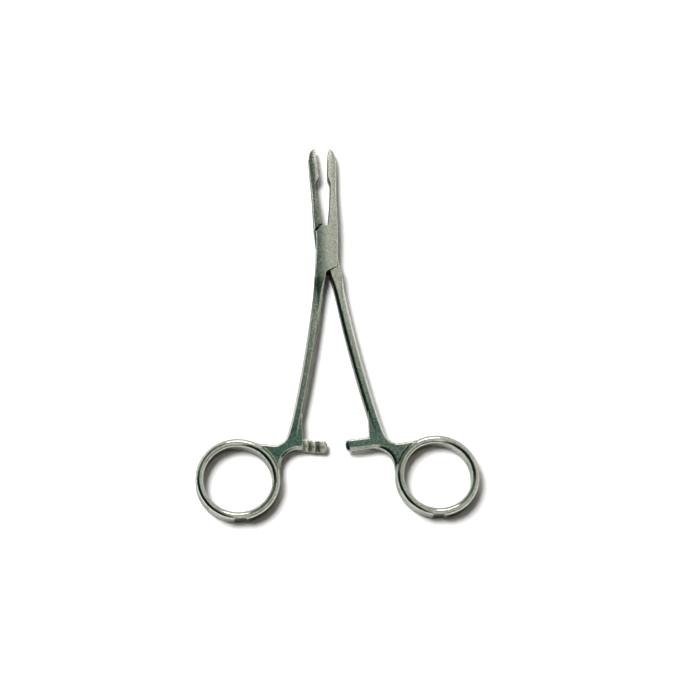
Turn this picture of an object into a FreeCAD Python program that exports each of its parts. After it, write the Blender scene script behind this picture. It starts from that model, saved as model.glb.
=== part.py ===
import FreeCAD, Part
import math
import os

# Box-lock ring-handled forceps, lying flat as they come to rest, slightly open.
# +Z is up, z = 0 is the plane they rest on, +Y points to the jaw tips, and the
# joint's axis stands on the origin. Both halves are drawn closed, each in the same
# place as the box half, and the insert half is then turned over about the long axis.
# All sizes are in millimetres and all angles in degrees.

V = FreeCAD.Vector

# Pose and common levels
HALF_OPENING = 3.1        # each half's turn from closed, as the photographed tool lies
THICKNESS = 4.8           # over the box lock, and the height of the finger rings
MID = THICKNESS / 2
CUT_OVER = 0.5            # how far a cutter passes what it cuts
TOUCH = 0.001             # how near two places are that count as the same
ROUND_PULL = 0.5523       # makes a cubic curve nearly a quarter circle

# Box lock: plan view of one half, with its jaw at +X and its shank at -X
SHOULDER_TOP_IN = V(-2.2, 8.9, 0)      # inner end of the oblique shoulder by the jaws
SHOULDER_TOP_OUT = V(-3.95, 6.7, 0)    # its outer end
SHOULDER_LOW_IN = V(0.14, -8.5, 0)     # inner end of the oblique shoulder by the shanks
SHOULDER_LOW_OUT = V(3.45, -6.8, 0)    # its outer end
BOX_HALF_WIDTH = 3.7                   # at the pivot
BOX_EDGE = 0.25                        # bevel along the lock's outer edges
SHOULDER_GAP = 0.2                     # between facing shoulders when closed
CROTCH_RISE = 0.3                      # the crotch by the jaws is this far above the shoulder
CROTCH_STEP = 0.25                     # and this far inside the neck's root
PLATE = 1.35                           # each of the two plates round the slot
SLOT_CLEARANCE = 0.05                  # over and under the tongue
CROTCH_CLEARANCE = 0.12                # from the closed centreline to each half's shank
LOCK_REACH = 3                         # how many times over the lock's cutters pass its outline
PIN_RADIUS = 1.1
PIN_CLEARANCE = 0.04                   # running fit of the tongue on the pin

# Jaws
JAW_ROOT_Y = 10.9
JAW_ROOT_OUT = 3.56
NECK_Y = 20.5
NECK_OUT = 3.36
NECK_THICKNESS = 3.9
BOX_NECK_ROOT_IN = 0.35   # inner side of the box half's jaw at the lock, the stouter one
BOX_NECK_IN = 0.85        # the same at its heel
INSERT_NECK_ROOT_IN = 0.95
INSERT_NECK_IN = 1.6
NECK_MIDDLE_Y = 17.25     # where the neck's hollow inner side is given by a third point,
NECK_HOLLOW = 0.72        # which has reached this share of its whole slant
HEEL_Y = 25.6             # where the gripping part starts to stand in from the neck
HEEL_RUN = 2.5
HEEL_ROUND = 0.8
LEAF_Y = 30.5             # widest place of the leaf-shaped end
LEAF_OUT = 3.3
LEAF_THICKNESS = 3.1
TIP_Y = 39.85
TIP_OUT = 0.75
TIP_THICKNESS = 1.2
TIP_RELIEF = 0.35         # the gripping face curves back this far at the very tip
TIP_RELIEF_RUN = 1.3
NECK_ROUND_X = 1.0        # rounding of the jaw's back at the neck, across and in height
NECK_ROUND_Z = 1.3
JAW_FLAT = 0.3            # share of the leaf's width that is flat before its round back
LEAF_SHARES = (0, 0.35, 0.6, 0.8, 0.92, 1.0)   # where its sections are, from widest place to tip
LEAF_BULGE = 2.6          # power of the curve that its outline follows to the tip
LEAF_THINNING = 1.5       # power of the curve that its thickness follows
BACK_FLAT = 0.05          # half the height of the narrow flat along the leaf's back
JAW_EDGE = 0.18           # bevel along the gripping face
FACE_CLEARANCE = 0.03     # plain parts of the face to the closed centreline
CREST_PASS = 0.12         # how far the tooth crests pass the closed centreline
SERRATION_DEPTH = 0.3
SERRATION_PITCH = 0.85
SERRATION_START_Y = 28.5
SERRATION_SHIFT = 0.5     # the insert half's grooves start this share of a pitch further on
SERRATION_COUNT = int((TIP_Y - TIP_RELIEF_RUN - SERRATION_START_Y) / SERRATION_PITCH - SERRATION_SHIFT)
GROOVE_FLOOR = 0.25       # share of a pitch at which each groove is deepest
GROOVE_CREST = 0.75       # and at which the crest after it stands
RELIEF_KNEE = 0.4         # share of the tip's relief, both ways, where it bends

# Shanks
SHANK_ROOT_Y = -11.2
SHANK_END_Y = -69.0
SHANK_ROOT_IN = 0.45
SHANK_ROOT_OUT = 4.25
SHANK_END_CENTRE = 10.75
SHANK_BOW = 0.85          # how far the middle of the shank stands out from a straight line
SHANK_WIDTH = 3.4
SHANK_END_WIDTH = 4.0
SHANK_THICKNESS = 4.0
SHANK_BEVEL = 0.85
SHANK_STATIONS = 7

# Finger rings
RING_RADIUS = 12.75       # to the middle of the bow
RING_REACH = 16.1         # from the closed centreline to the nearest of the bow's middle line
RING_DROP = 3.55          # from the shank's end down to the top of the bow's middle line
RING_X = RING_REACH + RING_RADIUS
RING_Y = SHANK_END_Y - RING_DROP - RING_RADIUS
RING_WIDTH = 2.6
RING_CREST_ROUND = 2.2    # radius of the bow's crowned top and bottom
RING_NOTCH_WIDTH = 3.8
RING_NOTCH_DEPTH = 0.6
RING_NOTCH_TURN = 5.0     # from the ring's lowest point towards the other ring

# Web between shank, ratchet arm and ring
WEB_START = 9.0           # it starts this far above the shank's end, inside the shank
WEB_TOP_TANGENT = 6.0     # slope of its outer side where it runs on to the ring's top
WEB_SIDE_TANGENT = 3.0    # slope off the long axis of its inner side along the ring
WEB_SINK = 0.3            # how far its sides end inside the ring's flank
WEB_ARM_RUN = 8.6         # from the bow's nearest middle line to the web's end on the arm
WEB_ARM_X = WEB_ARM_RUN - RING_REACH
ARM_INSET = 0.1           # how far the web's end stays inside the arm's sides
WEB_OUTER_ROUND = 4.5
WEB_INNER_ROUND = 6.3
WEB_THICKNESS = 3.7       # below the crown of the ring
WEB_EDGE = 0.8

# Ratchet arms
ARM_DROP = 3.25           # from the shank's end down to the arm's middle
ARM_RADIUS = ARM_DROP - SHANK_END_Y
ARM_ROOT_X = -11.5
ARM_WIDTH = 4.1
ARM_TIP_X = 0.85          # past the closed centreline
ARM_TIP_ROUND = 1.5
ARM_BACK = (THICKNESS - WEB_THICKNESS) / 2     # the arm's smooth back is flush with the web
ARM_BACK_BEVEL = 0.8
ARM_GAP = 0.16            # between facing tooth crests
TOOTH_DEPTH = 0.75
TOOTH_PITCH = 2.45
TOOTH_COUNT = 3
END_TOOTH = 3.2
TOOTH_RAMP = 0.9
TOOTH_SIDE_NOTCH = 0.35


def prism(points, low, high):
    """An upright prism over a closed outline of points."""
    wire = Part.makePolygon([V(p.x, p.y, low) for p in points + points[:1]])
    return Part.Face(wire).extrude(V(0, 0, high - low))


def arc(first, middle, last):
    return Part.Arc(first, middle, last).toShape()


def line(first, last):
    return Part.LineSegment(first, last).toShape()


def mirrored(point):
    return V(-point.x, point.y, point.z)


def beside(first, last, distance):
    """The two points moved square to their line, away from the pivot."""
    along = (last - first).normalize()
    square = V(-along.y, along.x, 0)
    if square.dot(first) < 0:
        square = square.negative()
    return first + square * distance, last + square * distance


def lock_block(neck_root_in):
    """The full-thickness middle of a half: jaw root, lock and shank root."""
    jaw_out = V(JAW_ROOT_OUT, JAW_ROOT_Y, 0)
    jaw_in = V(neck_root_in, JAW_ROOT_Y, 0)
    crotch_top = V(neck_root_in - CROTCH_STEP, SHOULDER_TOP_IN.y + CROTCH_RISE, 0)
    crotch_low = V(-CROTCH_CLEARANCE, SHOULDER_LOW_IN.y - SHOULDER_GAP, 0)
    shank_in = V(-SHANK_ROOT_IN, SHANK_ROOT_Y, 0)
    shank_out = V(-SHANK_ROOT_OUT, SHANK_ROOT_Y, 0)
    edges = [
        line(jaw_out, jaw_in),
        line(jaw_in, crotch_top),
        line(crotch_top, SHOULDER_TOP_IN),
        line(SHOULDER_TOP_IN, SHOULDER_TOP_OUT),
        arc(SHOULDER_TOP_OUT, V(-BOX_HALF_WIDTH, 0, 0), shank_out),
        line(shank_out, shank_in),
        line(shank_in, crotch_low),
        line(crotch_low, SHOULDER_LOW_IN),
        line(SHOULDER_LOW_IN, SHOULDER_LOW_OUT),
        arc(SHOULDER_LOW_OUT, V(BOX_HALF_WIDTH, 0, 0), jaw_out),
    ]
    block = Part.Face(Part.Wire(edges)).extrude(V(0, 0, THICKNESS))
    rim = [e for e in block.Edges if is_level(e) and not is_root(e)]
    return block.makeChamfer(BOX_EDGE, rim)


def is_level(edge):
    return abs(edge.BoundBox.ZMax - edge.BoundBox.ZMin) < TOUCH


def is_root(edge):
    """Whether the edge lies on the plane where a jaw or shank goes on."""
    box = edge.BoundBox
    on_jaw = abs(box.YMin - JAW_ROOT_Y) < TOUCH
    on_shank = abs(box.YMax - SHANK_ROOT_Y) < TOUCH
    return on_jaw or on_shank


def lock_space():
    """Plan outline of the room that one half's lock needs in the other half."""
    top_in, top_out = beside(SHOULDER_TOP_IN, SHOULDER_TOP_OUT, SHOULDER_GAP)
    low_in, low_out = beside(SHOULDER_LOW_IN, SHOULDER_LOW_OUT, SHOULDER_GAP)
    reach = LOCK_REACH * BOX_HALF_WIDTH
    top_far = top_in + (top_out - top_in) * LOCK_REACH
    low_far = low_in + (low_out - low_in) * LOCK_REACH
    crotch = SHOULDER_TOP_IN.y + CROTCH_RISE + SHOULDER_GAP
    floor = SHOULDER_LOW_IN.y - SHOULDER_GAP
    return [
        V(reach, crotch, 0), V(top_in.x, crotch, 0), top_in, top_far,
        V(-reach, top_far.y, 0), V(-reach, floor, 0),
        V(low_in.x, floor, 0), low_in, low_far, V(reach, low_far.y, 0),
    ]


def octagon(y, inner, outer, thickness, bevel):
    """A bevelled rectangular section across the long axis."""
    low = MID - thickness / 2
    high = MID + thickness / 2
    corners = [
        (inner - bevel, low), (outer + bevel, low), (outer, low + bevel), (outer, high - bevel),
        (outer + bevel, high), (inner - bevel, high), (inner, high - bevel), (inner, low + bevel),
    ]
    points = [V(x, y, z) for x, z in corners]
    return Part.makePolygon(points + points[:1])


def corner(start, bend, end):
    """A quarter oval from start to end that is tangent to both sides of its bend."""
    curve = Part.BezierCurve()
    curve.setPoles([start, start + (bend - start) * ROUND_PULL, end + (bend - end) * ROUND_PULL, end])
    return curve.toShape()


def jaw_section(y, back, thickness, round_x, round_z):
    """A section of the jaw: a flat gripping side, and a back with rounded corners."""
    face = -CREST_PASS
    low = MID - thickness / 2
    high = MID + thickness / 2
    points = [
        V(face, y, low + JAW_EDGE), V(face, y, high - JAW_EDGE), V(face + JAW_EDGE, y, high),
        V(back - round_x, y, high), V(back, y, high - round_z), V(back, y, low + round_z),
        V(back - round_x, y, low), V(face + JAW_EDGE, y, low),
    ]
    edges = [line(points[i], points[i + 1]) for i in (0, 1, 2)]
    edges.append(corner(points[3], V(back, y, high), points[4]))
    edges.append(line(points[4], points[5]))
    edges.append(corner(points[5], V(back, y, low), points[6]))
    edges.append(line(points[6], points[7]))
    edges.append(line(points[7], points[0]))
    return Part.Wire(edges)


def jaw_blank():
    """The whole jaw from the lock to its tip, as if its inner side were one flat."""
    sections = [
        jaw_section(JAW_ROOT_Y, JAW_ROOT_OUT, THICKNESS, BOX_EDGE, BOX_EDGE),
        jaw_section((JAW_ROOT_Y + NECK_Y) / 2, (JAW_ROOT_OUT + NECK_OUT) / 2,
                    (THICKNESS + NECK_THICKNESS) / 2,
                    (BOX_EDGE + NECK_ROUND_X) / 2, (BOX_EDGE + NECK_ROUND_Z) / 2),
        jaw_section(NECK_Y, NECK_OUT, NECK_THICKNESS, NECK_ROUND_X, NECK_ROUND_Z),
    ]
    sections += [leaf_section(share) for share in LEAF_SHARES]
    return Part.makeLoft(sections, True, False)


def leaf_section(share):
    """A section of the jaw's leaf-shaped end, a share of the way from its widest place to the tip."""
    narrow = 1 - math.sqrt(1 - share ** LEAF_BULGE)
    back = LEAF_OUT - (LEAF_OUT - TIP_OUT) * narrow
    thickness = LEAF_THICKNESS - (LEAF_THICKNESS - TIP_THICKNESS) * share ** LEAF_THINNING
    round_x = (back + CREST_PASS) * (1 - JAW_FLAT) - JAW_EDGE
    y = LEAF_Y + (TIP_Y - LEAF_Y) * share
    return jaw_section(y, back, thickness, round_x, thickness / 2 - BACK_FLAT)


def neck_room(neck_root_in, neck_in):
    """What is ground away inside the neck, so that only the jaw's end grips."""
    face = -CREST_PASS
    heel_end = V(face, HEEL_Y + HEEL_RUN, 0)
    heel_start = V(neck_in, HEEL_Y, 0)
    root = V(neck_root_in, JAW_ROOT_Y, 0)
    middle = V(neck_root_in + (neck_in - neck_root_in) * NECK_HOLLOW, NECK_MIDDLE_Y, 0)
    away = V(face - HEEL_RUN, HEEL_Y + HEEL_RUN, 0)
    edges = [
        arc(root, middle, heel_start), line(heel_start, heel_end), line(heel_end, away),
        line(away, V(away.x, JAW_ROOT_Y, 0)), line(V(away.x, JAW_ROOT_Y, 0), root),
    ]
    room = Part.Face(Part.Wire(edges)).extrude(V(0, 0, THICKNESS))
    heel = [e for e in room.Edges if not is_level(e) and abs(e.BoundBox.YMin - HEEL_Y) < TOUCH]
    return room.makeFillet(HEEL_ROUND, heel)


def face_cutter(phase):
    """The gripping face: plain ends, and between them a row of V grooves."""
    crest = -CREST_PASS
    root = crest + SERRATION_DEPTH
    start = SERRATION_START_Y + phase * SERRATION_PITCH
    end = start + SERRATION_COUNT * SERRATION_PITCH
    away = crest - CUT_OVER
    points = [V(away, HEEL_Y, 0), V(FACE_CLEARANCE, HEEL_Y, 0), V(FACE_CLEARANCE, start, 0)]
    for i in range(SERRATION_COUNT):
        y = start + i * SERRATION_PITCH
        points.append(V(root, y + SERRATION_PITCH * GROOVE_FLOOR, 0))
        points.append(V(crest, y + SERRATION_PITCH * GROOVE_CREST, 0))
    points[-1] = V(FACE_CLEARANCE, end - SERRATION_PITCH / 2, 0)
    points += [
        V(FACE_CLEARANCE, TIP_Y - TIP_RELIEF_RUN, 0),
        V(FACE_CLEARANCE + TIP_RELIEF * RELIEF_KNEE, TIP_Y - TIP_RELIEF_RUN * RELIEF_KNEE, 0),
        V(FACE_CLEARANCE + TIP_RELIEF, TIP_Y + CUT_OVER, 0), V(away, TIP_Y + CUT_OVER, 0),
    ]
    return prism(points, 0, THICKNESS)


def jaw(neck_root_in, neck_in, phase):
    body = jaw_blank().cut(neck_room(neck_root_in, neck_in))
    rim = [e for e in body.Edges if is_neck_rim(e)]
    return body.makeChamfer(BOX_EDGE, rim).cut(face_cutter(phase))


def is_neck_rim(edge):
    """Whether the edge runs along the ground inside of the neck, above or below."""
    box = edge.BoundBox
    inside = box.XMax < JAW_ROOT_OUT / 2 and box.XMin > FACE_CLEARANCE + BOX_EDGE / 2
    along = box.YMax - box.YMin > BOX_EDGE and box.YMax < HEEL_Y + HEEL_RUN
    return inside and along


def shank_middle(y):
    """X of the shank's centre line: a straight line with a slight outward bow."""
    share = (y - SHANK_ROOT_Y) / (SHANK_END_Y - SHANK_ROOT_Y)
    root = (SHANK_ROOT_IN + SHANK_ROOT_OUT) / 2
    straight = root + (SHANK_END_CENTRE - root) * share
    return -(straight - SHANK_BOW * 4 * share * (1 - share))


def shank():
    """The long handle bar, bevelled, slimmest below the lock."""
    wires = [octagon(SHANK_ROOT_Y, -SHANK_ROOT_IN, -SHANK_ROOT_OUT, THICKNESS, BOX_EDGE)]
    for i in range(1, SHANK_STATIONS + 1):
        share = i / SHANK_STATIONS
        y = SHANK_ROOT_Y + (SHANK_END_Y - SHANK_ROOT_Y) * share
        width = SHANK_WIDTH
        thickness = SHANK_THICKNESS
        if i == SHANK_STATIONS:
            width = SHANK_END_WIDTH
            thickness = WEB_THICKNESS
        middle = shank_middle(y)
        wires.append(octagon(y, middle + width / 2, middle - width / 2, thickness, SHANK_BEVEL))
    return Part.makeLoft(wires, True, False)


def bow_section(middle):
    """The ring's upright section: straight sides, crowned top and bottom."""
    half_width = RING_WIDTH / 2
    crown = RING_CREST_ROUND - math.sqrt(RING_CREST_ROUND ** 2 - half_width ** 2)
    edge = THICKNESS / 2 - crown
    top = V(0, 0, THICKNESS / 2)
    corners = [V(-half_width, 0, edge), V(half_width, 0, edge),
               V(half_width, 0, -edge), V(-half_width, 0, -edge)]
    points = [middle + corner_point for corner_point in corners]
    return Part.Wire([
        arc(points[0], middle + top, points[1]), line(points[1], points[2]),
        arc(points[2], middle - top, points[3]), line(points[3], points[0]),
    ])


def ring():
    """The finger ring: the bow's section turned round the ring's centre."""
    section = bow_section(V(-RING_X + RING_RADIUS, RING_Y, MID))
    bow = Part.Face(section).revolve(V(-RING_X, RING_Y, 0), V(0, 0, 1), 360)
    return bow.cut(ring_notch())


def ring_notch():
    """A small shallow step across the ring's outer edge, at its far end."""
    outer = RING_RADIUS + RING_WIDTH / 2
    notch = Part.makeBox(
        RING_NOTCH_WIDTH, 2 * RING_NOTCH_DEPTH, THICKNESS + 2 * CUT_OVER,
        V(-RING_X - RING_NOTCH_WIDTH / 2, RING_Y - outer - RING_NOTCH_DEPTH, -CUT_OVER))
    notch.rotate(V(-RING_X, RING_Y, 0), V(0, 0, 1), RING_NOTCH_TURN)
    return notch


def on_ring(radius, turn):
    """A point on a circle round the ring's centre; 0 looks at the other ring, 90 at the jaws."""
    angle = math.radians(turn)
    return V(-RING_X + radius * math.cos(angle), RING_Y + radius * math.sin(angle), 0)


def meeting(first, first_turn, second, second_turn):
    """Where two lines cross, each given by a point and a direction in degrees."""
    ax, ay = math.cos(math.radians(first_turn)), math.sin(math.radians(first_turn))
    bx, by = math.cos(math.radians(second_turn)), math.sin(math.radians(second_turn))
    gap = second - first
    along = (gap.x * by - gap.y * bx) / (ax * by - ay * bx)
    return first + V(ax, ay, 0) * along


def web():
    """The gusset where shank, ratchet arm and ring flow together, its corners rounded."""
    outer = RING_RADIUS + RING_WIDTH / 2 - WEB_SINK
    start_y = SHANK_END_Y + WEB_START
    half_flat = SHANK_WIDTH / 2 - SHANK_BEVEL
    middle = shank_middle(start_y)
    start_out = V(middle - half_flat, start_y, 0)
    start_in = V(middle + half_flat, start_y, 0)
    ring_top = on_ring(outer, 90 - WEB_TOP_TANGENT)
    ring_side = on_ring(outer, -WEB_SIDE_TANGENT)
    flank = V(shank_middle(SHANK_END_Y) - SHANK_END_WIDTH / 2, SHANK_END_Y, 0)
    flank_turn = math.degrees(math.atan2(flank.y - start_out.y, flank.x - start_out.x))
    notch_out = meeting(start_out, flank_turn, ring_top, -WEB_TOP_TANGENT)
    arm_low = on_arm(ARM_RADIUS + ARM_WIDTH / 2 - ARM_INSET, WEB_ARM_X)
    arm_high = on_arm(ARM_RADIUS - ARM_WIDTH / 2 + ARM_INSET, WEB_ARM_X)
    notch_in = meeting(arm_low, 180, ring_side, 90 - WEB_SIDE_TANGENT)
    band_top = on_ring(RING_RADIUS, 90 - WEB_TOP_TANGENT)
    band_side = on_ring(RING_RADIUS, -WEB_SIDE_TANGENT)
    edges = [
        line(start_out, notch_out), line(notch_out, ring_top), line(ring_top, band_top),
        arc(band_top, on_ring(RING_RADIUS, 45), band_side), line(band_side, ring_side),
        line(ring_side, notch_in), line(notch_in, arm_low), line(arm_low, arm_high),
        line(arm_high, start_in), line(start_in, start_out),
    ]
    plate = Part.Face(Part.Wire(edges)).extrude(V(0, 0, WEB_THICKNESS))
    plate.translate(V(0, 0, MID - WEB_THICKNESS / 2))
    plate = plate.makeFillet(WEB_OUTER_ROUND, upright_at(plate, notch_out))
    plate = plate.makeFillet(WEB_INNER_ROUND, upright_at(plate, notch_in))
    rim = [e for e in plate.Edges if is_level(e) and is_web_rim(e, start_out, ring_top)]
    rim += [e for e in plate.Edges if is_level(e) and is_web_rim(e, arm_low, ring_side)]
    return plate.makeChamfer(WEB_EDGE, rim)


def upright_at(solid, point):
    found = []
    for edge in solid.Edges:
        box = edge.BoundBox
        if not is_level(edge) and abs(box.XMin - point.x) + abs(box.YMin - point.y) < TOUCH:
            found.append(edge)
    return found


def is_web_rim(edge, first, last):
    """Whether a level edge belongs to the open side of the web between two points."""
    box = edge.BoundBox
    left, right = sorted((first.x, last.x))
    low, high = sorted((first.y, last.y))
    inside = box.XMin > left - TOUCH and box.XMax < right + TOUCH
    within = box.YMin > low - WEB_OUTER_ROUND and box.YMax < high + TOUCH
    from_centre = math.hypot(box.Center.x + RING_X, box.Center.y - RING_Y)
    on_band = abs(from_centre - RING_RADIUS) < RING_WIDTH / 2
    return inside and within and not on_band


def on_arm(radius, x):
    return V(x, -math.sqrt(radius ** 2 - x ** 2), 0)


def arm():
    """The ratchet arm, on a circle round the pivot, with its teeth upwards."""
    inner = ARM_RADIUS - ARM_WIDTH / 2
    outer = ARM_RADIUS + ARM_WIDTH / 2
    edges = [
        arc(on_arm(inner, ARM_ROOT_X), on_arm(inner, ARM_ROOT_X / 2), on_arm(inner, ARM_TIP_X)),
        line(on_arm(inner, ARM_TIP_X), on_arm(outer, ARM_TIP_X)),
        arc(on_arm(outer, ARM_TIP_X), on_arm(outer, ARM_ROOT_X / 2), on_arm(outer, ARM_ROOT_X)),
        line(on_arm(outer, ARM_ROOT_X), on_arm(inner, ARM_ROOT_X)),
    ]
    crest = MID - ARM_GAP / 2
    bar = Part.Face(Part.Wire(edges)).extrude(V(0, 0, crest - ARM_BACK))
    bar.translate(V(0, 0, ARM_BACK))
    upright = [e for e in bar.Edges if not is_level(e) and e.BoundBox.XMin > 0]
    bar = bar.makeFillet(ARM_TIP_ROUND, upright)
    back = [e for e in bar.Edges if is_level(e) and e.BoundBox.ZMax < ARM_BACK + TOUCH
            and e.BoundBox.XMax > ARM_ROOT_X + ARM_WIDTH / 2]
    bar = bar.makeChamfer(ARM_BACK_BEVEL, back)
    for i in range(TOOTH_COUNT):
        bar = bar.cut(tooth_groove(END_TOOTH + i * TOOTH_PITCH, crest))
    return bar


def tooth_groove(distance, crest):
    """One ratchet groove: steep towards the arm's tip, a ramp towards the shank."""
    y = -ARM_RADIUS - ARM_WIDTH
    profile = [
        V(0, y, crest + CUT_OVER), V(0, y, crest - TOOTH_DEPTH),
        V(-TOOTH_RAMP, y, crest), V(-TOOTH_RAMP, y, crest + CUT_OVER),
    ]
    groove = Part.Face(Part.makePolygon(profile + profile[:1])).extrude(V(0, 2 * ARM_WIDTH, 0))
    groove = groove.fuse(side_notch(ARM_RADIUS - ARM_WIDTH / 2, 1))
    groove = groove.fuse(side_notch(ARM_RADIUS + ARM_WIDTH / 2, -1))
    turn = math.degrees((distance - ARM_TIP_X) / ARM_RADIUS)
    groove.rotate(V(0, 0, 0), V(0, 0, 1), -turn)
    return groove


def side_notch(radius, inward):
    """A small V in the arm's side at a groove, which rounds the teeth off in plan."""
    y = -radius
    middle = -TOOTH_RAMP / 2
    open_y = y + TOOTH_SIDE_NOTCH * inward / 2
    return prism([
        V(-TOOTH_RAMP, open_y, 0), V(0, open_y, 0), V(middle, y - TOOTH_SIDE_NOTCH * inward, 0),
    ], MID - ARM_GAP / 2 - TOOTH_DEPTH, MID)


def half(neck_root_in, neck_in, phase):
    """One closed half without its lock cut, jaw at +X and shank at -X."""
    body = lock_block(neck_root_in)
    return body.multiFuse([jaw(neck_root_in, neck_in, phase), shank(), web(), arm(), ring()])


def box_half():
    """The female half: two plates round a slot, and the pin's seat in both plates."""
    body = half(BOX_NECK_ROOT_IN, BOX_NECK_IN, 0)
    room = [mirrored(point) for point in lock_space()]
    slot = prism(room, PLATE, THICKNESS - PLATE)
    seat = Part.makeCylinder(PIN_RADIUS, THICKNESS, V(0, 0, 0))
    return body.cut(slot).cut(seat).removeSplitter()


def insert_half():
    """The male half: a tongue between recesses that the plates lie in."""
    body = half(INSERT_NECK_ROOT_IN, INSERT_NECK_IN, SERRATION_SHIFT)
    body.rotate(V(0, 0, MID), V(0, 1, 0), 180)
    room = lock_space()
    under = prism(room, -CUT_OVER, PLATE + SLOT_CLEARANCE)
    over = prism(room, THICKNESS - PLATE - SLOT_CLEARANCE, THICKNESS + CUT_OVER)
    bore = Part.makeCylinder(PIN_RADIUS + PIN_CLEARANCE, THICKNESS, V(0, 0, 0))
    return body.cut(under).cut(over).cut(bore).removeSplitter()


def joint_pin():
    """The rivet, ground flush with both plates."""
    return Part.makeCylinder(PIN_RADIUS, THICKNESS, V(0, 0, 0))


def save(name, shape):
    solids = shape.Solids
    if len(solids) == 1:
        shape = solids[0]
    shape.exportStep("parts/" + name + ".step")
    print(name, "solids", len(solids), "valid", shape.isValid(), "volume", round(shape.Volume, 2))


os.makedirs("parts", exist_ok=True)
female = box_half()
female.rotate(V(0, 0, 0), V(0, 0, 1), -HALF_OPENING)
save("box_half", female)
male = insert_half()
male.rotate(V(0, 0, 0), V(0, 0, 1), HALF_OPENING)
save("insert_half", male)
save("joint_pin", joint_pin())
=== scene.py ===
import math

import bpy
from mathutils import Matrix, Vector

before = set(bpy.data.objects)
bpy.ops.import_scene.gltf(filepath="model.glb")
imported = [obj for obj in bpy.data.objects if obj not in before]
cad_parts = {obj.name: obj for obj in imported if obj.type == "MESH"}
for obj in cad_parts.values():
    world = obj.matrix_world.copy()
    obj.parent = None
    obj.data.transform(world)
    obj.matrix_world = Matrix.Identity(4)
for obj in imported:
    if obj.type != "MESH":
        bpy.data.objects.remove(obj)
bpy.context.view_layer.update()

# Lengths are in metres and angles in degrees. The forceps lie on z = 0, with the
# jaw tips towards +Y, the finger rings towards -Y and the joint's axis on x = y = 0.

# The photograph's camera
VIEW_TARGET = Vector((0.00308, -0.03359, 0.0024))
VIEW_DISTANCE = 0.7
VIEW_PITCH = 22.27        # towards the finger rings
VIEW_YAW = 5.92           # towards the left
VIEW_ROLL = -2.98
SENSOR = 36.0             # millimetres, as is the lens
LENS = 108.17

# Studio: the key light lights the floor, and the steel doesn't mirror it
KEY_PLACE = Vector((-1.35, 0.85, 2.5))
KEY_SIZE = 1.5
KEY_POWER = 140.0
KEY_COLOUR = (1.0, 1.0, 1.0)
CREST_PLACE = Vector((0.04, 0.6, 0.26))        # a small light that shows on the rings' crests
CREST_SIZE = 0.3
CREST_POWER = 1.6
CREST_COLOUR = (1.0, 0.99, 0.93)
FLOOR_HALF = 1.5
FLOOR_DROP = 0.00005      # below the rest plane, so that the two don't flicker
FLOOR_COLOUR = (0.93, 0.93, 0.93, 1.0)
FLOOR_ROUGHNESS = 0.9
FLOOR_SHINE = 0.1
FILL_COLOUR = (0.035, 0.024, 0.024, 1.0)       # what the surroundings add in the shadows

# What the steel mirrors: from 0.5, straight up, to 1.0, level beyond the jaws
SKY_TEAL = (0.015, 0.11, 0.1, 1.0)
SKY_GREEN = (0.155, 0.205, 0.15, 1.0)
SKY_STOPS = (
    (0.5, (0.85, 0.88, 0.74, 1.0)),            # edges that face the rings' end
    (0.6, SKY_GREEN),
    (0.646, SKY_TEAL),                         # rings
    (0.656, SKY_TEAL),
    (0.668, (0.075, 0.18, 0.155, 1.0)),        # webs and ratchet arms
    (0.682, SKY_GREEN),                        # shanks
    (0.699, SKY_GREEN),
    (0.709, (0.64, 0.68, 0.58, 1.0)),          # lock
    (0.74, (1.45, 1.48, 1.34, 1.0)),           # jaws
    (0.95, (0.2, 0.23, 0.19, 1.0)),
)
SKY_LEFT = (0.006, 0.022, 0.015, 1.0)          # beside the rings and the shanks
SKY_LEFT_FAR = (0.13, 0.18, 0.135, 1.0)        # beside the jaws
SKY_LEFT_STOPS = ((0.68, SKY_LEFT), (0.715, SKY_LEFT_FAR))
SKY_RIGHT = (0.62, 0.64, 0.55, 1.0)
SKY_RIGHT_FAR = (1.0, 1.02, 0.9, 1.0)
SKY_LOW = (0.01, 0.014, 0.011, 1.0)            # a dark strip just above the table behind the rings
# Where each of these starts and where it is complete, on the direction's X, Y or Z
LEFT_X = (0.03, -0.3)
RIGHT_X = (0.09, 0.32)
SHADE_X = (0.1, -0.12)
SHADE_Y = (0.37, 0.41)
GLEAM_X = (0.085, 0.12)
GLEAM_Y = (0.35, 0.39)
LOW_Z = (0.36, 0.2)
LOW_Y = (-0.05, -0.3)

# Steel: blasted satin at the jaws and the lock, polished from the shanks to the rings
SATIN_ROUGHNESS = 0.26
POLISHED_ROUGHNESS = 0.12
SATIN_END_Y = -0.005      # from here down the shanks get smoother
POLISH_START_Y = -0.018   # and from here on all is polished
STEEL_LIGHT = (0.7, 0.7, 0.66, 1.0)
STEEL_DARK = (0.39, 0.4, 0.365, 1.0)
STEEL_GRAZING = (0.4, 0.42, 0.375, 1.0)
NOISE_LOW = 0.3           # nearly all of a noise's values lie between these two
NOISE_HIGH = 0.7
NOISE_ROUGHNESS = 0.6
SPECKLE_SCALE = 1400.0    # specks in tone and roughness, this many to a metre
SPECKLE_DETAIL = 3.0
SPECKLE_ROUGHNESS = 0.035
GRAIN_SCALE = 3200.0      # blasted grain
GRAIN_DETAIL = 2.0
GRAIN_SHARE = 0.7
STREAK_SCALE = 2400.0     # brushed streaks along the tool
STREAK_STRETCH = (1.0, 0.06, 1.0)
STREAK_SHARE = 0.6
RELIEF_HEIGHT = 0.00003   # of grain, streaks and buffing lines together
SATIN_RELIEF = 0.5
POLISHED_RELIEF = 0.06

# Flanks: painted shade, a darker colour on the upright flanks that holds back their bright reflection of
# the floor
FLANK_SHADE_COLOUR = (0.27, 0.28, 0.25, 1.0)
FLANK_RISE = (0.3, 0.8)   # upward share of the normal, from all dark to all light
FLANK_Y = (-0.07, -0.062)                      # the rings have none, the shanks all of it
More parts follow.
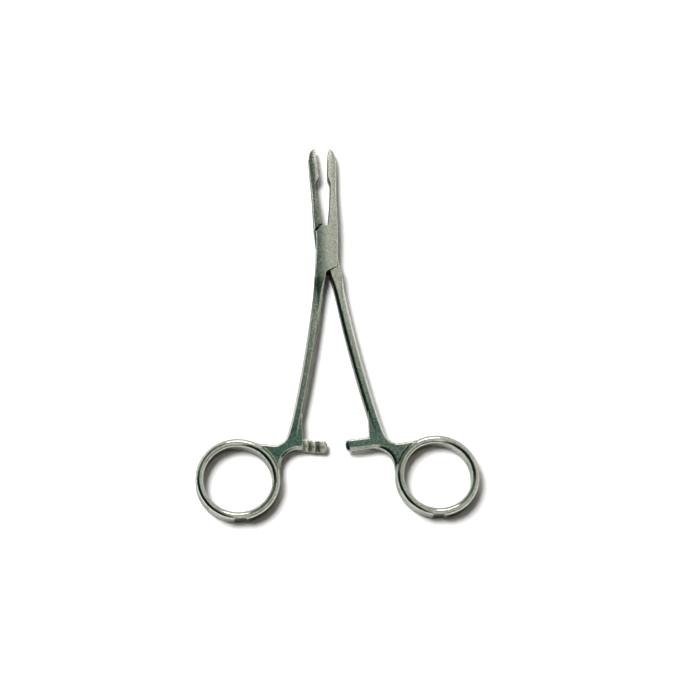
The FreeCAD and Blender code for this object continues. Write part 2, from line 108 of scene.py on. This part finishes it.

# Inside of the lock: painted shade, nearly black, on the surfaces between the halves
MIDDLE_Z = 0.0024         # half the thickness, also the middle of the ratchets' teeth
GAP_SHADE_COLOUR = (0.05, 0.052, 0.047, 1.0)
GAP_ROUGHNESS = 0.6
GAP_HALF_SIZES = (0.0035, 0.0088, 0.0021)
GAP_MIDDLES = (0.0, 0.0, MIDDLE_Z)

# Softened edges
EDGE_ROUND = 0.00045      # how far polishing has rounded the edges of the shanks and the rings
EDGE_CRISP = 0.00012      # and those of the lock and the jaws
EDGE_SAMPLES = 6

# Crowns: height over distance squared
LOCK_ROUNDING = -24.0     # the lock's flats are ground slightly round
LOCK_HALF_WIDTH = 0.0042
LOCK_HALF_LENGTH = 0.0105
LOCK_FADE_END = 0.03675
RING_ROUNDING = -330.0    # the bow's crown falls off faster at its edges than a plain arc
RING_CENTRE = (0.03342, -0.08362, 0.0)
RING_RADIUS = 0.01275
RING_HALF_WIDTH = 0.0013

# Buffing lines round the rings
BUFF_SCALE = 5200.0       # this many to a metre
BUFF_LENGTH = 40.0        # and this many times as long as they are wide
BUFF_DETAIL = 2.0
BUFF_Y = (-0.066, -0.072)                      # none on the shanks, all on the rings
BUFF_SHARE = 1.2
BUFF_TONE = 0.12

# Ratchet teeth: left matte, and each is a small pillow
TEETH_ROUNDING = -80.0
TEETH_HALF_HEIGHT = 0.001
TEETH_INSIDE_X = 0.0111
TOOTH_PITCH = 0.00245
END_TOOTH_X = 0.00465     # middle of the end tooth, as the halves lie at rest
END_TOOTH_INSIDE_X = 0.00625
ARM_RADIUS = 0.07225      # the arms' middle line is a circle round the joint
ARM_HALF_WIDTH = 0.0021


def add_node(tree, kind, inputs=None, **settings):
    """Adds a node, with values or links for its inputs."""
    made = tree.nodes.new(kind)
    for key, value in settings.items():
        setattr(made, key, value)
    for key, value in (inputs or {}).items():
        if isinstance(value, bpy.types.NodeSocket):
            tree.links.new(value, made.inputs[key])
        else:
            made.inputs[key].default_value = value
    return made


def new_tree(name):
    """A new material without nodes, and its tree."""
    material = bpy.data.materials.new(name)
    material.use_nodes = True
    material.node_tree.nodes.clear()
    return material, material.node_tree


def coordinates(tree, name):
    """Texture coordinates of one kind: Object, Normal or Generated."""
    return add_node(tree, "ShaderNodeTexCoord").outputs[name]


def split(tree, vector):
    """The X, Y and Z outputs of a vector."""
    return add_node(tree, "ShaderNodeSeparateXYZ", {"Vector": vector}).outputs


def joined(tree, x, y, z=0.0):
    """The vector of three values."""
    return add_node(tree, "ShaderNodeCombineXYZ", {"X": x, "Y": y, "Z": z}).outputs["Vector"]


def ramp(tree, factor, stops):
    """A colour ramp with (place, colour) stops."""
    made = add_node(tree, "ShaderNodeValToRGB", {"Fac": factor})
    band = made.color_ramp
    while len(band.elements) < len(stops):
        band.elements.new(0.5)
    for element, (place, colour) in zip(band.elements, stops):
        element.position = place
        element.color = colour
    return made.outputs["Color"]


def mix(tree, factor, first, second):
    """Goes from the first colour to the second as factor goes from 0 to 1."""
    made = add_node(tree, "ShaderNodeMix", {0: factor, 6: first, 7: second}, data_type="RGBA")
    return made.outputs[2]


def spread(tree, value, low, high, out_low, out_high):
    """A smooth change from out_low to out_high while value goes from low to high."""
    made = add_node(tree, "ShaderNodeMapRange", {
        "Value": value, "From Min": low, "From Max": high, "To Min": out_low, "To Max": out_high,
    }, interpolation_type="SMOOTHSTEP")
    return made.outputs["Result"]


def share(tree, value, start_and_end):
    """A smooth change from 0 to 1 while value goes from start to end."""
    start, end = start_and_end
    return spread(tree, value, start, end, 0.0, 1.0)


def reckon(tree, operation, first, second=0.0):
    """One sum, on sockets or plain numbers."""
    return add_node(tree, "ShaderNodeMath", {0: first, 1: second}, operation=operation).outputs[0]


def product(tree, *factors):
    """All factors multiplied."""
    made = factors[0]
    for factor in factors[1:]:
        made = reckon(tree, "MULTIPLY", made, factor)
    return made


def noise(tree, place, scale, detail):
    """Procedural noise, around one half."""
    made = add_node(tree, "ShaderNodeTexNoise", {
        "Vector": place, "Scale": scale, "Detail": detail, "Roughness": NOISE_ROUGHNESS})
    return made.outputs["Fac"]


def steel(name):
    """Stainless steel: blasted satin at the jaws and the lock, polished towards the rings."""
    material, tree = new_tree(name)
    point = coordinates(tree, "Object")
    place = split(tree, point)
    buffed = buffing(tree, place)
    speckle = noise(tree, point, SPECKLE_SCALE, SPECKLE_DETAIL)
    gap = in_gap(tree, place)
    matte_teeth = reckon(tree, "SUBTRACT", 1.0, on_teeth(tree, place))
    polish = product(tree, share(tree, place["Y"], (SATIN_END_Y, POLISH_START_Y)), matte_teeth)
    colour = steel_colour(tree, place, speckle, buffed, gap)
    rough = steel_roughness(tree, polish, speckle, gap)
    normal = steel_normal(tree, point, place, polish, buffed)
    shader = add_node(tree, "ShaderNodeBsdfPrincipled", {
        "Base Color": colour, "Metallic": 1.0, "Roughness": rough,
        "Specular Tint": STEEL_GRAZING, "Normal": normal})
    add_node(tree, "ShaderNodeOutputMaterial", {"Surface": shader.outputs["BSDF"]})
    return material


def steel_colour(tree, place, speckle, buffed, gap):
    """Specks and buffing lines in the tone, with painted shade on the flanks and inside the lock."""
    lines = spread(tree, buffed, NOISE_LOW, NOISE_HIGH, -BUFF_TONE, BUFF_TONE)
    tone = reckon(tree, "ADD", speckle, lines)
    colour = ramp(tree, tone, ((NOISE_LOW, STEEL_DARK), (NOISE_HIGH, STEEL_LIGHT)))
    # painted shade: a darker colour on the upright flanks
    colour = mix(tree, flank_shade(tree, place), colour, FLANK_SHADE_COLOUR)
    # painted shade: nearly black inside the lock, where the slits lie in shade
    return mix(tree, gap, colour, GAP_SHADE_COLOUR)


def steel_roughness(tree, polish, speckle, gap):
    """From satin to polished, with specks."""
    rough = spread(tree, polish, 0.0, 1.0, SATIN_ROUGHNESS, POLISHED_ROUGHNESS)
    specks = spread(tree, speckle, NOISE_LOW, NOISE_HIGH, -SPECKLE_ROUGHNESS, SPECKLE_ROUGHNESS)
    rough = reckon(tree, "ADD", rough, specks)
    return spread(tree, gap, 0.0, 1.0, rough, GAP_ROUGHNESS)


def steel_normal(tree, point, place, polish, buffed):
    """Softened edges, then the crowns, then the fine relief."""
    edge = spread(tree, place["Y"], SATIN_END_Y, POLISH_START_Y, EDGE_CRISP, EDGE_ROUND)
    soft = add_node(tree, "ShaderNodeBevel", {"Radius": edge}, samples=EDGE_SAMPLES)
    crown = add_node(tree, "ShaderNodeBump", {
        "Strength": 1.0, "Distance": 1.0, "Height": rounding(tree, place),
        "Normal": soft.outputs["Normal"]})
    grain = noise(tree, point, GRAIN_SCALE, GRAIN_DETAIL)
    along = add_node(tree, "ShaderNodeVectorMath", {0: point, 1: STREAK_STRETCH}, operation="MULTIPLY")
    streak = noise(tree, along.outputs["Vector"], STREAK_SCALE, GRAIN_DETAIL)
    relief = reckon(tree, "ADD", product(tree, grain, GRAIN_SHARE), product(tree, streak, STREAK_SHARE))
    relief = reckon(tree, "ADD", relief, product(tree, buffed, BUFF_SHARE))
    strength = spread(tree, polish, 0.0, 1.0, SATIN_RELIEF, POLISHED_RELIEF)
    fine = add_node(tree, "ShaderNodeBump", {
        "Strength": strength, "Distance": RELIEF_HEIGHT, "Height": relief,
        "Normal": crown.outputs["Normal"]})
    return fine.outputs["Normal"]


def flank_shade(tree, place):
    """Where the painted shade goes: 1 on the upright flanks of the jaws, the lock and the shanks, 0 on
    their tops and on the rings.
    """
    rise = reckon(tree, "ABSOLUTE", split(tree, coordinates(tree, "Normal"))["Z"])
    upright = spread(tree, rise, *FLANK_RISE, 1.0, 0.0)
    return product(tree, upright, share(tree, place["Y"], FLANK_Y))


def in_gap(tree, place):
    """Where the painted shade goes: 1 on the surfaces inside the lock, 0 on all outer ones."""
    inside = 1.0
    for axis, middle, half_size in zip("XYZ", GAP_MIDDLES, GAP_HALF_SIZES):
        away = reckon(tree, "ABSOLUTE", reckon(tree, "SUBTRACT", place[axis], middle))
        inside = product(tree, reckon(tree, "LESS_THAN", away, half_size), inside)
    return inside


def from_arm(tree, place):
    """How far a point is from the middle line of the ratchet arms, less inside it."""
    flat = joined(tree, place["X"], place["Y"])
    radius = add_node(tree, "ShaderNodeVectorMath", {0: flat}, operation="LENGTH")
    return reckon(tree, "SUBTRACT", radius.outputs["Value"], ARM_RADIUS)


def on_teeth(tree, place):
    """1 on the ratchets' teeth, 0 elsewhere."""
    height = reckon(tree, "ABSOLUTE", reckon(tree, "SUBTRACT", place["Z"], MIDDLE_Z))
    side = reckon(tree, "ABSOLUTE", place["X"])
    off_arm = reckon(tree, "ABSOLUTE", from_arm(tree, place))
    return product(tree, reckon(tree, "LESS_THAN", height, TEETH_HALF_HEIGHT),
                   reckon(tree, "LESS_THAN", side, TEETH_INSIDE_X),
                   reckon(tree, "LESS_THAN", off_arm, ARM_HALF_WIDTH))


def pillows(tree, place):
    """The height that rounds off each ratchet tooth on all four sides."""
    side = reckon(tree, "ABSOLUTE", place["X"])
    on_end = reckon(tree, "SUBTRACT", side, END_TOOTH_X)
    past = reckon(tree, "SUBTRACT", side, END_TOOTH_INSIDE_X)
    on_others = reckon(tree, "SUBTRACT", reckon(tree, "MODULO", past, TOOTH_PITCH), TOOTH_PITCH / 2)
    is_other = reckon(tree, "GREATER_THAN", past, 0.0)
    step = product(tree, is_other, reckon(tree, "SUBTRACT", on_others, on_end))
    off_tooth = reckon(tree, "ADD", on_end, step)
    off_arm = from_arm(tree, place)
    square = reckon(tree, "ADD", product(tree, off_tooth, off_tooth), product(tree, off_arm, off_arm))
    return product(tree, square, TEETH_ROUNDING, on_teeth(tree, place))


def ring_distance(tree, place):
    """How far a point is from the middle of the nearer finger ring."""
    beside = joined(tree, reckon(tree, "ABSOLUTE", place["X"]), place["Y"])
    made = add_node(tree, "ShaderNodeVectorMath", {0: beside, 1: RING_CENTRE}, operation="DISTANCE")
    return made.outputs["Value"]


def buffing(tree, place):
    """Fine lines left by the polishing wheel, round each ring, and one half elsewhere."""
    across = product(tree, ring_distance(tree, place), BUFF_SCALE)
    along = product(tree, place["Y"], BUFF_SCALE / BUFF_LENGTH)
    sideways = product(tree, place["X"], BUFF_SCALE / BUFF_LENGTH)
    lines = noise(tree, joined(tree, across, along, sideways), 1.0, BUFF_DETAIL)
    near = share(tree, place["Y"], BUFF_Y)
    return reckon(tree, "ADD", product(tree, reckon(tree, "SUBTRACT", lines, 0.5), near), 0.5)


def rounding(tree, place):
    """The height that rounds off the lock's flats, the crowns of both rings and the teeth."""
    off_axis = reckon(tree, "MINIMUM", reckon(tree, "ABSOLUTE", place["X"]), LOCK_HALF_WIDTH)
    square = reckon(tree, "SUBTRACT", product(tree, off_axis, off_axis), LOCK_HALF_WIDTH ** 2)
    from_joint = reckon(tree, "ABSOLUTE", place["Y"])
    steepness = spread(tree, from_joint, LOCK_HALF_LENGTH, LOCK_FADE_END, LOCK_ROUNDING, 0.0)
    lock = product(tree, square, steepness)
    from_bow = reckon(tree, "SUBTRACT", ring_distance(tree, place), RING_RADIUS)
    off_bow = reckon(tree, "MINIMUM", reckon(tree, "ABSOLUTE", from_bow), RING_HALF_WIDTH)
    bow = product(tree, off_bow, off_bow, RING_ROUNDING)
    return reckon(tree, "ADD", reckon(tree, "ADD", lock, bow), pillows(tree, place))


def floor():
    """A plain pale floor in the plane that the forceps lie on."""
    bpy.ops.mesh.primitive_plane_add(size=2 * FLOOR_HALF, location=(0, 0, -FLOOR_DROP))
    plane = bpy.context.object
    plane.name = "floor"
    material, tree = new_tree("floor_white")
    shader = add_node(tree, "ShaderNodeBsdfPrincipled", {
        "Base Color": FLOOR_COLOUR, "Roughness": FLOOR_ROUGHNESS, "Specular IOR Level": FLOOR_SHINE})
    add_node(tree, "ShaderNodeOutputMaterial", {"Surface": shader.outputs["BSDF"]})
    plane.data.materials.append(material)


def softbox(name, place, size, power, colour, mirrored):
    """A square area light that looks at the object, and that steel may mirror or not."""
    light = bpy.data.lights.new(name, "AREA")
    light.shape = "SQUARE"
    light.size = size
    light.energy = power
    light.color = colour
    holder = bpy.data.objects.new(name, light)
    holder.location = place
    holder.visible_glossy = mirrored
    holder.rotation_euler = (VIEW_TARGET - place).to_track_quat("-Z", "Y").to_euler()
    bpy.context.scene.collection.objects.link(holder)


def surroundings():
    """The studio that the steel mirrors: teal near the rings, grey green and beige at the jaws."""
    world = bpy.data.worlds.new("studio")
    world.use_nodes = True
    bpy.context.scene.world = world
    tree = world.node_tree
    tree.nodes.clear()
    way = split(tree, coordinates(tree, "Generated"))
    along = add_node(tree, "ShaderNodeMapRange", {
        "Value": way["Y"], "From Min": -1.0, "From Max": 1.0}).outputs["Result"]
    sky = ramp(tree, along, SKY_STOPS)
    shade = product(tree, share(tree, way["X"], SHADE_X), share(tree, way["Y"], SHADE_Y))
    sky = mix(tree, shade, sky, SKY_LEFT_FAR)
    gleam = product(tree, share(tree, way["X"], GLEAM_X), share(tree, way["Y"], GLEAM_Y))
    sky = mix(tree, gleam, sky, SKY_RIGHT_FAR)
    sky = mix(tree, share(tree, way["X"], LEFT_X), sky, ramp(tree, along, SKY_LEFT_STOPS))
    sky = mix(tree, share(tree, way["X"], RIGHT_X), sky, SKY_RIGHT)
    low = product(tree, share(tree, way["Z"], LOW_Z), share(tree, way["Y"], LOW_Y))
    sky = mix(tree, low, sky, SKY_LOW)
    diffuse = add_node(tree, "ShaderNodeLightPath").outputs["Is Diffuse Ray"]
    sky = mix(tree, diffuse, sky, FILL_COLOUR)
    background = add_node(tree, "ShaderNodeBackground", {"Color": sky})
    add_node(tree, "ShaderNodeOutputWorld", {"Surface": background.outputs["Background"]})


def camera():
    """The photograph's camera: above the object, a little towards its rings."""
    back = Vector((-math.tan(math.radians(VIEW_YAW)), -math.tan(math.radians(VIEW_PITCH)), 1)).normalized()
    right = Vector((0, 1, 0)).cross(back).normalized()
    up = back.cross(right)
    turn = math.radians(VIEW_ROLL)
    turned_right = right * math.cos(turn) + up * math.sin(turn)
    turned_up = up * math.cos(turn) - right * math.sin(turn)
    matrix = Matrix((turned_right, turned_up, back)).transposed().to_4x4()
    matrix.translation = VIEW_TARGET + back * VIEW_DISTANCE
    data = bpy.data.cameras.new("photo_camera")
    data.sensor_width = SENSOR
    data.lens = LENS
    holder = bpy.data.objects.new("photo_camera", data)
    holder.matrix_world = matrix
    bpy.context.scene.collection.objects.link(holder)
    bpy.context.scene.camera = holder


def dress(node, material):
    """Puts a material on a node's mesh."""
    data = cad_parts[node].data
    data.materials.clear()
    data.materials.append(material)


camera()
floor()
softbox("key", KEY_PLACE, KEY_SIZE, KEY_POWER, KEY_COLOUR, False)
softbox("crest", CREST_PLACE, CREST_SIZE, CREST_POWER, CREST_COLOUR, True)
surroundings()
bpy.context.scene.view_settings.view_transform = "Standard"
for part_name in ("box_half", "insert_half", "joint_pin"):
    dress(part_name, steel(part_name + "_steel"))
